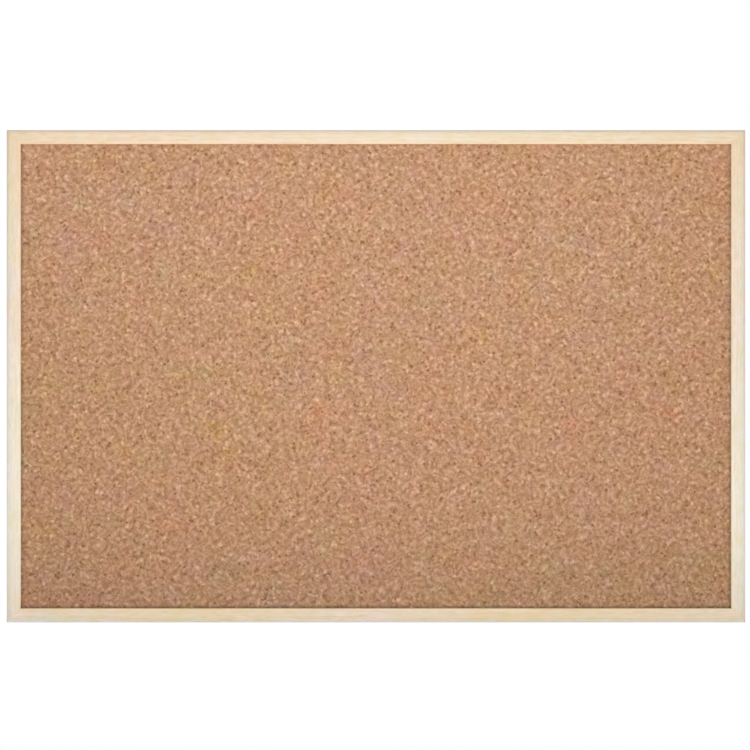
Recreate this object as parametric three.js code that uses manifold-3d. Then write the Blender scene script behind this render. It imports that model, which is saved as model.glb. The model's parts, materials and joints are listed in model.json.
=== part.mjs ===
// Cork board in a mitred pine frame, with two D ring hangers on its back.
// Millimetres, +Z up. The cork faces -Y and the wall is on the +Y side.
// The origin is the middle of the lower edge, half way through the frame's depth.
import * as THREE from "three";
import { mergeVertices } from "three/addons/utils/BufferGeometryUtils.js";
import Module from "manifold-3d";

const wasm = await Module();
wasm.setup();

// Board
const boardWidth = 600;
const boardHeight = 400;

// Rails: a groove behind the front lip holds the panel.
const railFace = 11.5;
const frontLip = 2.8;
const backLip = 2.8;
const grooveDepth = 3.3;
const outerEdgeRadius = 1.8;
const innerEdgeRadius = 0.7;
const backEdgeRadius = 0.8;
const mitreGap = 0.05;

// Panel, from the front to the back
const corkThickness = 2;
const coreThickness = 5.5;
const backingThickness = 1.5;
const glueLine = 0.1;
const panelPlay = 0.1;
const panelSideClearance = 0.5;

// Corner staples: two of them cross each mitre, driven in from the back. The outer one keeps its edge
// distance, and the inner one lies at a share of the mitre's solid wood.
const stapleCrown = 5.7;
const stapleLeg = 9;
const stapleWireWidth = 1.2;
const stapleWireThickness = 0.9;
const stapleSink = 0.15;
const stapleFit = 0.05;
const stapleEdge = 1.6;
const innerStapleShare = 0.86;

// Hangers
const hangerDrop = 60;
const strapWidth = 6.5;
const strapSheet = 0.8;
const ringWireRadius = 0.9;
const ringBendRadius = 1.5;
const ringLeg = 4.5;
const ringSidePlay = 0.6;
const barrelClearance = 0.3;
const ringRestGap = 0.3;
const ringToScrewHead = 1.3;

// Hanger screws
const screwRadius = 1.1;
const screwLength = 10;
const screwTip = 2.4;
const screwHeadRadius = 2.3;
const screwHeadHeight = 1.4;
const headRimShare = 0.25;
const screwHoleClearance = 0.3;
const screwBite = 0.1;
const recessLength = 2.6;
const recessWidth = 0.6;
const recessDepth = 0.8;

// Bumpers
const bumperRadius = 4.75;
const bumperFlatRadius = 3.2;
const bumperHeight = 3.8;
const bumperInset = 30;

// Seats and cuts
const seatGap = 0.1;
const overrun = 1;

// Worked out from the sizes above
const grooveWidth = 2 * panelPlay + corkThickness + coreThickness + backingThickness + 2 * glueLine;
const railDepth = frontLip + grooveWidth + backLip;
const frontFace = -railDepth / 2;
const backFace = railDepth / 2;
const sheetMargin = railFace - grooveDepth + panelSideClearance;
const solidMitre = (railFace - grooveDepth) * Math.SQRT2;
const staplePlaces = {
  outer: stapleCrown / 2 + stapleEdge * Math.SQRT2,
  inner: solidMitre * innerStapleShare,
};
const barrelInner = ringWireRadius + barrelClearance;
const barrelOuter = barrelInner + strapSheet;
const strapFace = 2 * strapSheet - barrelOuter;
const ringHalfWidth = strapWidth / 2 + ringSidePlay + ringWireRadius;
const ringReach = ringLeg + ringHalfWidth;
const screwDrop = ringReach + ringWireRadius + ringToScrewHead + screwHeadRadius;
const strapLength = screwDrop + strapWidth / 2;
const ringLean = Math.asin((strapFace + ringWireRadius + ringRestGap) / ringReach);

const pine = { color: 0xecddc4, roughness: 0.55, metalness: 0 };
const cork = { color: 0xbf9270, roughness: 0.95, metalness: 0 };
const softboard = { color: 0xa9825a, roughness: 0.95, metalness: 0 };
const hardboard = { color: 0x7a5a3c, roughness: 0.7, metalness: 0 };
const zincPlated = { color: 0xc9c6bd, roughness: 0.35, metalness: 1 };
const stapleSteel = { color: 0xb9b6ad, roughness: 0.4, metalness: 1 };
const rubber = { color: 0x4a4a4a, roughness: 0.8, metalness: 0 };

// Helpers

function toSolid(geometry) {
  const bare = geometry.clone();
  bare.deleteAttribute("normal");
  bare.deleteAttribute("uv");
  const merged = mergeVertices(bare);
  return new wasm.Manifold(
    new wasm.Mesh({
      numProp: 3,
      vertProperties: new Float32Array(merged.attributes.position.array),
      triVerts: new Uint32Array(merged.index.array),
    }),
  );
}

function toGeometry(solid) {
  const made = solid.getMesh();
  const geometry = new THREE.BufferGeometry();
  geometry.setAttribute("position", new THREE.BufferAttribute(made.vertProperties, 3));
  geometry.setIndex(new THREE.BufferAttribute(made.triVerts, 1));
  geometry.computeVertexNormals();
  return geometry;
}

function extrude(shape, depth, curveSegments) {
  return new THREE.ExtrudeGeometry(shape, { depth, curveSegments, bevelEnabled: false });
}

// A section drawn in Y and Z, run along X and centred on it.
function runAlongX(section, length, curveSegments) {
  const geometry = extrude(section, length, curveSegments).translate(0, 0, -length / 2);
  const turn = new THREE.Matrix4().makeBasis(
    new THREE.Vector3(0, 1, 0),
    new THREE.Vector3(0, 0, 1),
    new THREE.Vector3(1, 0, 0),
  );
  return geometry.applyMatrix4(turn);
}

// An outline drawn in X and Z, run along Y from one depth to another.
function runAlongY(outline, from, to, curveSegments) {
  return extrude(outline, to - from, curveSegments).rotateX(Math.PI / 2).translate(0, to, 0);
}

function polygon(points) {
  return new THREE.Shape(points.map(([x, y]) => new THREE.Vector2(x, y)));
}

function mesh(name, geometry, finish) {
  const made = new THREE.Mesh(geometry, new THREE.MeshStandardMaterial(finish));
  made.name = name;
  return made;
}

// Rails: each is drawn as the bottom rail lies, its outer edge at z = 0 and the groove open upwards.

function railSection() {
  const grooveFront = frontFace + frontLip;
  const grooveFloor = railFace - grooveDepth;
  const right = Math.PI / 2;
  const section = new THREE.Shape();
  const roundEdge = (y, z, radius, start) => section.absarc(y, z, radius, start, start + right);
  roundEdge(frontFace + outerEdgeRadius, outerEdgeRadius, outerEdgeRadius, 2 * right);
  roundEdge(backFace - backEdgeRadius, backEdgeRadius, backEdgeRadius, 3 * right);
  roundEdge(backFace - backEdgeRadius, railFace - backEdgeRadius, backEdgeRadius, 0);
  section.lineTo(grooveFront + grooveWidth, railFace);
  section.lineTo(grooveFront + grooveWidth, grooveFloor);
  section.lineTo(grooveFront, grooveFloor);
  section.lineTo(grooveFront, railFace);
  roundEdge(frontFace + innerEdgeRadius, railFace - innerEdgeRadius, innerEdgeRadius, right);
  return section;
}

function mitredBlock(length) {
  const half = length / 2 - mitreGap / Math.SQRT2;
  const top = railFace + overrun;
  const outline = polygon([
    [-half - overrun, -overrun],
    [half + overrun, -overrun],
    [half - top, top],
    [top - half, top],
  ]);
  return runAlongY(outline, frontFace - overrun, backFace + overrun);
}

// A staple lies with its crown along X and its legs towards -Y. Its pocket is the same shape, grown all
// round and open above the crown.
function stapleGeometry(grow, above) {
  const half = stapleCrown / 2 + grow;
  const inside = half - stapleWireThickness - 2 * grow;
  const under = -stapleWireThickness - grow;
  const tip = -stapleLeg - grow;
  const bevel = tip + stapleWireThickness;
  const outline = polygon([
    [-half, above],
    [-half, bevel],
    [-inside, tip],
    [-inside, under],
    [inside, under],
    [inside, tip],
    [half, bevel],
    [half, above],
  ]);
  const width = stapleWireWidth + 2 * grow;
  return extrude(outline, width).translate(0, 0, -width / 2);
}

// Where a staple lies, a distance along the mitre from the outer corner. The signs of inward say which way
// the mitre runs in X and Z, and the crown lies across it.
function staplePlace(corner, inward, distance) {
  const step = distance / Math.SQRT2;
  const place = new THREE.Matrix4().makeRotationY((inward.x * inward.z * Math.PI) / 4);
  place.setPosition(corner.x + inward.x * step, backFace - stapleSink, corner.z + inward.z * step);
  return place;
}

function railGeometry(length, extraCuts) {
  let rail = toSolid(runAlongX(railSection(), length, 3)).intersect(toSolid(mitredBlock(length)));
  for (const end of [-1, 1]) {
    for (const distance of Object.values(staplePlaces)) {
      const pocket = stapleGeometry(stapleFit, stapleSink + overrun);
      pocket.applyMatrix4(staplePlace({ x: (end * length) / 2, z: 0 }, { x: -end, z: 1 }, distance));
      rail = rail.subtract(toSolid(pocket));
    }
  }
  for (const cut of extraCuts) rail = rail.subtract(toSolid(cut));
  return toGeometry(rail);
}

// A hole for a hanger screw, bored from the back of a side rail.
function screwPilot(along) {
  const depth = screwLength - 2 * strapSheet - 2 * seatGap + screwBite;
  const radius = screwRadius + screwBite;
  const hole = new THREE.CylinderGeometry(radius, radius, depth + overrun, 16);
  return hole.translate(along, backFace + (overrun - depth) / 2, railFace / 2);
}

function frameRails() {
  const middle = boardHeight / 2;
  const pilotHeight = boardHeight - hangerDrop - screwDrop - middle;
  const rails = [
    { name: "bottom_rail", length: boardWidth, x: 0, z: 0, turn: 0 },
    { name: "top_rail", length: boardWidth, x: 0, z: boardHeight, turn: Math.PI },
    { name: "left_rail", length: boardHeight, x: -boardWidth / 2, z: middle, turn: Math.PI / 2, side: -1 },
    { name: "right_rail", length: boardHeight, x: boardWidth / 2, z: middle, turn: -Math.PI / 2, side: 1 },
  ];
  return rails.map(({ name, length, x, z, turn, side }) => {
    const cuts = side ? [screwPilot(side * pilotHeight)] : [];
    const rail = mesh(name, railGeometry(length, cuts), pine);
    rail.position.set(x, 0, z);
    rail.rotation.y = turn;
    return rail;
  });
}

function cornerStaples() {
  const staples = [];
  for (const [row, z, up] of [["top", boardHeight, 1], ["bottom", 0, -1]]) {
    for (const [column, side] of [["left", -1], ["right", 1]]) {
      for (const [place, distance] of Object.entries(staplePlaces)) {
        const staple = mesh(`corner_staple_${row}_${column}_${place}`, stapleGeometry(0, 0), stapleSteel);
        const corner = { x: (side * boardWidth) / 2, z };
        staple.applyMatrix4(staplePlace(corner, { x: -side, z: -up }, distance));
        staples.push(staple);
      }
    }
  }
  return staples;
}

// Panel

function panelSheets() {
  const width = boardWidth - 2 * sheetMargin;
  const height = boardHeight - 2 * sheetMargin;
  const layers = [
    ["cork_sheet", corkThickness, cork],
    ["softboard_core", coreThickness, softboard],
    ["backing_sheet", backingThickness, hardboard],
  ];
  let front = frontFace + frontLip + panelPlay;
  return layers.map(([name, thickness, finish]) => {
    const sheet = mesh(name, new THREE.BoxGeometry(width, thickness, height), finish);
    sheet.position.set(0, front + thickness / 2, boardHeight / 2);
    front += thickness + glueLine;
    return sheet;
  });
}

// Hangers: each is drawn round the axis of its ring's bar, with the strap going down from it.

// One strip, folded in two round the bar: the section has both layers and the barrel, and the outline has
// the round end and the screw's hole.
function strapGeometry() {
  const half = strapWidth / 2;
  const deep = barrelOuter + overrun;
  const section = new THREE.Shape();
  section.moveTo(-barrelOuter, -strapLength);
  section.lineTo(strapFace, -strapLength);
  section.absarc(0, 0, barrelOuter, -Math.acos(strapFace / barrelOuter), Math.PI);
  const bore = new THREE.Path();
  bore.absarc(0, 0, barrelInner, 0, 2 * Math.PI, true);
  section.holes.push(bore);
  const outline = new THREE.Shape();
  outline.moveTo(half, deep);
  outline.lineTo(-half, deep);
  outline.absarc(0, -screwDrop, half, Math.PI, 2 * Math.PI);
  const hole = new THREE.Path();
  hole.absarc(0, -screwDrop, screwRadius + screwHoleClearance, 0, 2 * Math.PI, true);
  outline.holes.push(hole);
  const strip = toSolid(runAlongX(section, strapWidth + overrun, 12));
  return toGeometry(strip.intersect(toSolid(runAlongY(outline, -deep, deep, 12))));
}

// The D ring hangs down from its bar: the bar, a bend, a leg, the bow, and the same back.
function ringGeometry() {
  const half = ringHalfWidth;
  const bend = ringBendRadius;
  const right = Math.PI / 2;
  const line = new THREE.Path();
  line.moveTo(bend - half, 0);
  line.absarc(half - bend, -bend, bend, right, 0, true);
  line.absarc(0, -ringLeg, half, 0, -2 * right, true);
  line.absarc(bend - half, -bend, bend, 2 * right, right, true);
  const points = line.getSpacedPoints(200).map(({ x, y }) => new THREE.Vector3(x, 0, y));
  points.pop();
  return new THREE.TubeGeometry(new THREE.CatmullRomCurve3(points, true), 64, ringWireRadius, 10, true);
}

// The screw points to -Y, and the underside of its head is at y = 0.
function screwGeometry() {
  const rim = screwHeadHeight * headRimShare;
  const profile = new THREE.Path();
  profile.moveTo(0, -screwLength);
  profile.lineTo(screwRadius, screwTip - screwLength);
  profile.lineTo(screwRadius, 0);
  profile.lineTo(screwHeadRadius, 0);
  profile.absellipse(0, rim, screwHeadRadius, screwHeadHeight - rim, 0, Math.PI / 2);
  const body = toSolid(new THREE.LatheGeometry(profile.getPoints(4), 20));
  const across = new THREE.BoxGeometry(recessLength, 2 * recessDepth, recessWidth);
  const along = new THREE.BoxGeometry(recessWidth, 2 * recessDepth, recessLength);
  const slots = [across, along].map((slot) => toSolid(slot.translate(0, screwHeadHeight, 0)));
  return toGeometry(body.subtract(slots[0].add(slots[1])));
}

function hanger(name, side) {
  const group = new THREE.Group();
  group.position.set(
    side * (boardWidth / 2 - railFace / 2),
    backFace + seatGap + barrelOuter,
    boardHeight - hangerDrop,
  );
  const strap = mesh(`${name}_hanger_strap`, strapGeometry(), zincPlated);
  const ring = mesh(`${name}_hanger_ring`, ringGeometry(), zincPlated);
  ring.rotation.x = ringLean;
  const screw = mesh(`${name}_hanger_screw`, screwGeometry(), zincPlated);
  screw.position.set(0, strapFace + seatGap, -screwDrop);
  group.add(strap, ring, screw);
  return group;
}

// Bumpers: round feet with a rounded edge and a flat face for the wall.

function bumper(name, side) {
  const profile = new THREE.Path();
  profile.moveTo(0, 0);
  profile.lineTo(bumperRadius, 0);
  profile.absellipse(bumperFlatRadius, 0, bumperRadius - bumperFlatRadius, bumperHeight, 0, Math.PI / 2);
  profile.lineTo(0, bumperHeight);
  const made = mesh(`${name}_bumper`, new THREE.LatheGeometry(profile.getPoints(4), 24), rubber);
  made.position.set(side * (boardWidth / 2 - bumperInset), backFace + seatGap, railFace / 2);
  return made;
}

const board = new THREE.Group();
board.add(...frameRails());
board.add(...panelSheets());
board.add(...cornerStaples());
for (const [name, side] of [["left", -1], ["right", 1]]) {
  board.add(hanger(name, side));
  board.add(bumper(name, side));
}

export default board;
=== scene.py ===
"""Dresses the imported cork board: a cork face in a mitred pine frame, with D ring hangers behind.

The file is laid out as an add-on and is run as a script. Lengths are in metres, with +X to the right
as the cork is looked at, +Y towards the wall and +Z up. Shader patterns are laid out in millimetres.
"""
import json
import math

import bmesh
import bpy
import numpy as np
from bpy.props import FloatProperty, FloatVectorProperty, IntProperty, PointerProperty
from bpy.types import Operator, Panel, PropertyGroup
from mathutils import Matrix, Vector, noise


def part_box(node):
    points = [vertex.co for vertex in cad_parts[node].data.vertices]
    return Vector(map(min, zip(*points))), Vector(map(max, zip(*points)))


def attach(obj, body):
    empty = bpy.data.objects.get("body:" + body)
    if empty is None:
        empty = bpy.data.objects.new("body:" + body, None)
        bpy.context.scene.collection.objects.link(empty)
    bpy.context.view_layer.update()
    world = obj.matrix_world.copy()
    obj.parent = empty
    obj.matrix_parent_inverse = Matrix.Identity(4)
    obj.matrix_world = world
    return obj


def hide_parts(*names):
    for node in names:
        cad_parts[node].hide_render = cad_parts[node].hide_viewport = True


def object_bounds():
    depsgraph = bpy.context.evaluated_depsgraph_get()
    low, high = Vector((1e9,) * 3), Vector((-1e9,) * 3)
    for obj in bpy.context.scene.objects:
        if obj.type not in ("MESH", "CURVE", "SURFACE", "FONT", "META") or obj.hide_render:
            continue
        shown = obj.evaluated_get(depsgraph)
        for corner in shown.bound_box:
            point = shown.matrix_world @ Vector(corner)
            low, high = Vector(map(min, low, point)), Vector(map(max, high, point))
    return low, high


bl_info = {
    "name": "Cork Board",
    "version": (1, 0, 0),
    "blender": (4, 5, 0),
    "location": "3D View > Sidebar > Cork Board",
    "description": "Builds a framed cork board with its hangers, staples and bumpers",
    "category": "Object",
}

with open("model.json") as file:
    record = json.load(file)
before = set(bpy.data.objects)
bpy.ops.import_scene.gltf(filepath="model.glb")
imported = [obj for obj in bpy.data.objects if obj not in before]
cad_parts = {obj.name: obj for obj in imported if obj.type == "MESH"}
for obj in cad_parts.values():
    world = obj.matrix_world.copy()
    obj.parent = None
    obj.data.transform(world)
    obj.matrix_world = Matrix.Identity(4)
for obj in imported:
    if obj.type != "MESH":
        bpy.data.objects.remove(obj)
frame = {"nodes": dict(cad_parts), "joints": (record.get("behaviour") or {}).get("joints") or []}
CAD_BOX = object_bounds()

MM = 0.001
RIGHT = math.pi / 2
TURN = 2 * math.pi
BOARD = "board"
SIDES = (("left", -1), ("right", 1))

TOP_RAIL_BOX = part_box("top_rail")
BUMPER_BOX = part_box("left_bumper")


# Sizes and colours that a user would change


def length(name, description, default):
    return FloatProperty(
        name=name, description=description, default=default, min=0.0, precision=5,
        subtype="DISTANCE", unit="LENGTH",
    )


def colour(name, description, default):
    return FloatVectorProperty(
        name=name, description=description, default=default, size=3, min=0.0, max=1.0,
        subtype="COLOR",
    )


class CorkBoardSizes(PropertyGroup):
    """Sizes of the dressed pieces."""

    outer_edge: length("Outer edge", "Radius of a rail's outer front edge", 1.8 * MM)
    inner_edge: length("Inner edge", "Radius of a rail's inner front edge", 0.7 * MM)
    back_edge: length("Back edge", "Radius of a rail's back edges", 0.8 * MM)
    lip: length("Lip", "Thickness of the lips before and behind the groove", 2.8 * MM)
    groove: length("Groove", "Depth of the groove that holds the panel", 3.3 * MM)
    mitre_ease: length("Mitre ease", "How far the edges of a mitre are eased", 0.02 * MM)
    cork_pitch: length("Cork pitch", "Distance between points of the cork face", 1.55 * MM)
    cork_relief: length("Cork relief", "Depth of the hollows between granules", 0.10 * MM)
    pit_depth: length("Pit depth", "Depth of the pits where granules broke out", 0.36 * MM)
    pit_count: IntProperty(
        name="Pits", description="How many granules broke out of the cork face", default=420, min=0
    )
    strap_width: length("Strap width", "Width of a hanger strap", 6.5 * MM)
    strap_sheet: length("Strap sheet", "Thickness of the hangers' sheet steel", 0.78 * MM)
    strap_drop: length("Strap drop", "From the ring's bar down to the screw", 13.75 * MM)
    strap_barrel: length("Strap barrel", "Outer radius of the fold round the bar", 1.98 * MM)
    ring_wire: length("Ring wire", "Radius of the D ring's wire", 0.9 * MM)
    ring_half: length("Ring half width", "From a ring's middle to its wire's middle", 4.75 * MM)
    ring_leg: length("Ring leg", "Length of a D ring from its bar to its bow", 4.5 * MM)
    ring_bend: length("Ring bend", "Radius of the bends beside the bar", 1.5 * MM)
    screw_head: length("Screw head", "Radius of a screw's pan head", 2.3 * MM)
    screw_length: length("Screw length", "Length of a screw under its head", 10 * MM)
    wire_width: length("Staple width", "Width of the staples' flat wire", 1.2 * MM)
    wire_thickness: length("Staple thickness", "Thickness of the staples' flat wire", 0.9 * MM)


class CorkBoardColours(PropertyGroup):
    """Colours of the finishes and strengths of the lights."""

    pine_top: colour("Top rail", "Pine of the top rail", (0.756, 0.612, 0.453))
    pine_bottom: colour("Bottom rail", "Pine of the bottom rail", (0.791, 0.659, 0.481))
    pine_left: colour("Left rail", "Pine of the left rail", (0.863, 0.793, 0.654))
    pine_right: colour("Right rail", "Pine of the right rail", (0.863, 0.793, 0.654))
    cork_dark: colour("Cork dark", "Bark specks in the cork", (0.272, 0.125, 0.055))
    cork: colour("Cork", "Cork granules", (0.487, 0.2665, 0.149))
    cork_pale: colour("Cork pale", "Pale chips in the cork", (0.742, 0.456, 0.293))
    hardboard: colour("Hardboard", "Backing sheet", (0.19, 0.10, 0.045))
    softboard: colour("Softboard", "Core behind the cork", (0.40, 0.22, 0.10))
    zinc: colour("Zinc plate", "Hangers and screws", (0.62, 0.61, 0.58))
    wire: colour("Staple wire", "Galvanised wire of the staples", (0.50, 0.49, 0.46))
    rubber: colour("Rubber", "Bumpers", (0.045, 0.045, 0.047))
    floor: colour("Floor", "Plain floor under the board", (0.85, 0.84, 0.82))
    fill_light: FloatProperty(
        name="Fill light", description="Strength of the light from all around", default=0.69, min=0.0
    )
    key_light: FloatProperty(
        name="Key light", description="Power of the soft light near the camera",
        default=45.0, min=0.0, unit="POWER",
    )


# Shader building


def maths(operation, swapped=False):
    """A method that adds a maths node to a value and, where the operation takes two, another one."""
    def method(self, *other):
        operands = (*other, self) if swapped else (self, *other)
        return self.nodes.add("ShaderNodeMath", {"operation": operation}, dict(enumerate(operands)))
    return method


class Value:
    """A node's output that holds a number, so that shader maths is written as Python expressions."""

    def __init__(self, nodes, socket):
        self.nodes = nodes
        self.socket = socket

    __add__ = __radd__ = maths("ADD")
    __sub__ = maths("SUBTRACT")
    __rsub__ = maths("SUBTRACT", swapped=True)
    __mul__ = __rmul__ = maths("MULTIPLY")
    __truediv__ = maths("DIVIDE")
    __pow__ = maths("POWER")
    __abs__ = maths("ABSOLUTE")
    fraction = maths("FRACT")

    def rise(self, low, high):
        """0 up to low and 1 from high on, eased between them. It falls where low is the higher one."""
        settings = {"interpolation_type": "SMOOTHSTEP"}
        if low < high:
            return self.nodes.add("ShaderNodeMapRange", settings, {0: self, 1: low, 2: high})
        return 1.0 - self.rise(high, low)


class Nodes:
    """The nodes of one material or world."""

    def __init__(self, tree):
        self.tree = tree

    def add(self, kind, settings=None, sockets=None, output=0):
        """Makes a node: its settings come first, then the values or links of its sockets."""
        node = self.tree.nodes.new(kind)
        for name, value in (settings or {}).items():
            if name == "stops":
                self.set_stops(node.color_ramp, value)
            else:
                setattr(node, name, value)
        for key, value in (sockets or {}).items():
            self.plug(self.pick(node.inputs, key), value)
        return Value(self, self.pick(node.outputs, output))

    @staticmethod
    def pick(sockets, key):
        """The socket of that number, or the enabled one of that name or identifier."""
        if isinstance(key, int):
            return sockets[key]
        return next(s for s in sockets if key in (s.identifier, s.name) and s.enabled)

    @staticmethod
    def set_stops(ramp, stops):
        while len(ramp.elements) > 1:
            ramp.elements.remove(ramp.elements[-1])
        for number, (position, tint) in enumerate(stops):
            stop = ramp.elements[0] if number == 0 else ramp.elements.new(position)
            stop.position = position
            stop.color = (*tint, 1.0)

    def plug(self, socket, value):
        """Links a socket to a value, or sets it."""
        if isinstance(value, Value):
            self.tree.links.new(value.socket, socket)
        elif socket.type == "RGBA":
            socket.default_value = (*value, 1.0)
        else:
            socket.default_value = value

    def vector(self, operation, *operands):
        return self.add("ShaderNodeVectorMath", {"operation": operation}, dict(enumerate(operands)))

    def scaled(self, vector, x, y, z):
        return self.vector("MULTIPLY", vector, (x, y, z))

    def parts(self, kind, value):
        """The outputs of a node that takes a vector or a colour apart."""
        node = self.add(kind, None, {0: value}).socket.node
        return [Value(self, socket) for socket in node.outputs]

    def axes(self, vector):
        return self.parts("ShaderNodeSeparateXYZ", vector)

    def channels(self, tint):
        return self.parts("ShaderNodeSeparateColor", tint)

    def place_mm(self):
        """The place on the piece, in its own axes and in millimetres."""
        own = self.add("ShaderNodeTexCoord", output="Object")
        return self.scaled(own, 1 / MM, 1 / MM, 1 / MM)

    def turned(self, place, angle):
        """The place, turned round the Y axis."""
        return self.add("ShaderNodeMapping", None, {"Vector": place, "Rotation": (0.0, angle, 0.0)})

    def flat(self, place):
        """The place, pressed flat onto y = 0, where noise has its evenest lumps."""
        return self.scaled(place, 1.0, 0.0, 1.0)

    def cloud(self, place, size, detail=2.0, roughness=0.5, distortion=0.0, output="Fac"):
        """Noise whose lumps are about the given size in millimetres."""
        sockets = {
            "Vector": place, "Scale": 1 / size, "Detail": detail, "Roughness": roughness,
            "Distortion": distortion,
        }
        return self.add("ShaderNodeTexNoise", None, sockets, output)

    def grain(self, place, along, across, detail=2.0, roughness=0.5):
        """Noise drawn out along X, by how many lumps fit in a millimetre along and across."""
        return self.cloud(self.scaled(place, along, across, across), 1.0, detail, roughness)

    def cells(self, place, size, output="Distance", feature="F1"):
        """Random cells of about the given size in millimetres."""
        sockets = {"Vector": place, "Scale": 1 / size}
        return self.add("ShaderNodeTexVoronoi", {"feature": feature}, sockets, output)

    def ramp(self, level, stops):
        """The colour that (position, colour) stops have at a level."""
        return self.add("ShaderNodeValToRGB", {"stops": stops}, {0: level}, "Color")

    def blend(self, share, first, second, blend_type="MIX"):
        """A colour between two others. The share is clamped to 0 and 1."""
        settings = {"data_type": "RGBA", "blend_type": blend_type}
        sockets = {"Factor_Float": share, "A_Color": first, "B_Color": second}
        return self.add("ShaderNodeMix", settings, sockets, "Result_Color")

    def multiplied(self, base, factors, share=1.0):
        """A colour with the given share of some factors on its red, green and blue."""
        return self.blend(share, base, factors, "MULTIPLY")

    def warped(self, place, size, amount):
        """The place, pushed about by noise of that size, so that cells get uneven outlines."""
        push = self.cloud(place, size, detail=1.0, output="Color")
        centred = self.vector("SUBTRACT", push, (0.5, 0.5, 0.5))
        return self.vector("ADD", place, self.scaled(centred, amount, amount, amount))


class Finish(Nodes):
    """A material that is being built."""

    def __init__(self, name):
        self.material = bpy.data.materials.new(name)
        self.material.use_nodes = True
        super().__init__(self.material.node_tree)
        self.shader = self.tree.nodes["Principled BSDF"]

    def surface(self, base, roughness, height=None, depth=0.0, **uniform):
        """Sets the shader. The height is in shares of the depth, which is in metres."""
        sockets = {"Base_Color": base, "Roughness": roughness, **uniform}
        if height is not None:
            sockets["Normal"] = self.add("ShaderNodeBump", None, {"Distance": depth, "Height": height})
        for name, value in sockets.items():
            self.plug(self.shader.inputs[name.replace("_", " ")], value)
        return self.material


def shade(base, factor, red=1.0, green=1.0, blue=1.0):
    """A lighter or darker colour, with its hue shifted by the three factors."""
    return tuple(min(1.0, c * factor * k) for c, k in zip(base, (red, green, blue)))


# How the colour of each rail drifts along its length, from its left or upper end: shares of the length,
# with factors on red, green and blue. The drift is partly the wood's own tone and partly painted light,
# lighter where the lamp's light falls off towards the lower ends of the side rails and the ends of the
# bottom rail. The side rails are cut from one board.
SIDE_TONE_AND_PAINTED_LIGHT = [
    (0.0, (0.84, 0.71, 0.56)), (0.2, (0.875, 0.80, 0.71)), (0.38, (0.91, 0.825, 0.80)),
    (0.55, (0.93, 0.915, 0.89)), (0.75, (1.0, 1.0, 1.01)), (0.86, (0.965, 0.98, 0.965)),
    (0.96, (0.95, 0.92, 0.91)), (1.0, (0.91, 0.86, 0.81)),
]
PINE_TONE_AND_PAINTED_LIGHT = {
    "top": [
        (0.0, (0.98, 0.95, 0.88)), (0.03, (1.0, 0.97, 0.92)), (0.3, (0.965, 0.95, 0.92)),
        (0.5, (0.96, 1.0, 1.0)), (0.68, (0.945, 0.97, 0.935)), (0.97, (0.985, 0.98, 0.925)),
        (1.0, (0.97, 0.96, 0.89)),
    ],
    "bottom": [
        (0.0, (1.03, 1.06, 1.11)), (0.03, (1.0, 1.0, 0.99)), (0.28, (0.958, 0.932, 0.84)),
        (0.5, (0.967, 0.953, 1.0)), (0.7, (0.962, 0.935, 0.83)), (0.97, (1.0, 1.0, 0.99)),
        (1.0, (1.03, 1.06, 1.11)),
    ],
    "left": SIDE_TONE_AND_PAINTED_LIGHT,
    "right": SIDE_TONE_AND_PAINTED_LIGHT,
}

# Painted shade and light on the outermost millimetres of each rail, where its rounded outer edge turns
# away from the face: darker on the top rail, lighter and bluer on the bottom one. Factors on red, green
# and blue.
OUTER_EDGE_PAINTED_LIGHT = {
    "top": (0.93, 0.935, 0.95), "bottom": (0.975, 1.055, 1.20),
    "left": (0.97, 0.97, 0.97), "right": (0.96, 0.97, 0.98),
}

# Slow patches of hue: an offset in millimetres into the noise, and factors where it is high and low.
PINE_HUES = (
    ((40.0, 0.0, 0.0), (1.08, 0.99, 1.0), (0.92, 1.01, 1.0)),
    ((90.0, 30.0, 0.0), (1.03, 1.05, 1.22), (0.97, 0.95, 0.78)),
)
CORK_HUES = (
    ((90.0, 0.0, 210.0), (1.12, 0.84, 0.87), (0.88, 1.16, 1.13)),
    ((500.0, 0.0, 60.0), (1.02, 0.99, 1.48), (0.98, 1.01, 0.52)),
)


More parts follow.
